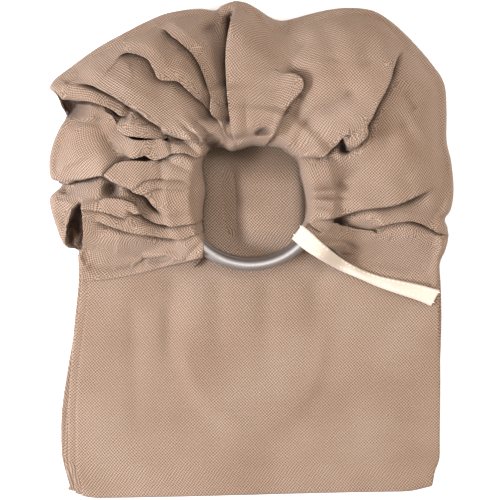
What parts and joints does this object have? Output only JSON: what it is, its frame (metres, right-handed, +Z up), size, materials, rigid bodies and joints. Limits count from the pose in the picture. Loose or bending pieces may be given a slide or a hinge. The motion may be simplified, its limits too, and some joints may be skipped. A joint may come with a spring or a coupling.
{
  "type": "ring sling baby wrap",
  "caption": "Folded cloth baby wrap sling with its gathered shoulder and a pair of metal rings laid on top.",
  "frame": {"origin": "under the middle of the sling's outline, on the surface it lies on", "axes": "+Z up; +X across the fold; +Y from the front fold to the gathered crown"},
  "size_m": [0.234, 0.287, 0.0644],
  "materials": {
    "wrap_cloth": "woven cotton, matte",
    "cream_tape": "woven cotton tape, matte",
    "taupe_thread": "spun polyester thread",
    "cream_thread": "spun polyester thread",
    "ring_metal": "satin"
  },
  "bodies": {
    "folded_tail": {"tail_panel_1": "wrap_cloth", "tail_panel_2": "wrap_cloth", "tail_panel_3": "wrap_cloth", "tail_panel_4": "wrap_cloth", "tail_panel_5": "wrap_cloth", "tail_panel_6": "wrap_cloth", "tail_hem": "wrap_cloth", "tail_hem_stitching": "taupe_thread", "shoulder_return": "wrap_cloth"},
    "shoulder": {"ring_casing": "wrap_cloth", "casing_seam": "taupe_thread", "edge_tape": "cream_tape", "tape_stitching": "cream_thread", "gather_left_flank": "wrap_cloth", "gather_left_crown": "wrap_cloth", "gather_middle_crown": "wrap_cloth", "gather_right_crown": "wrap_cloth", "gather_right_flank": "wrap_cloth"},
    "lower_ring": {"lower_ring": "ring_metal"},
    "upper_ring": {"upper_ring": "ring_metal"}
  },
  "joints": [
    {"name": "shoulder_lift", "type": "hinge", "parent": "folded_tail", "child": "shoulder", "pos_m": [0, 0.136, 0.009], "axis": [-1, 0, 0], "range_deg": [0, 90]},
    {"name": "lower_ring_turn", "type": "hinge", "parent": "shoulder", "child": "lower_ring", "pos_m": [-0.0005, 0.03331, 0.03845], "axis": [0, -0.2419, 0.9703], "continuous": true},
    {"name": "upper_ring_turn", "type": "hinge", "parent": "shoulder", "child": "upper_ring", "pos_m": [-0.0005, 0.03164, 0.04515], "axis": [0, -0.2419, 0.9703], "continuous": true}
  ]
}
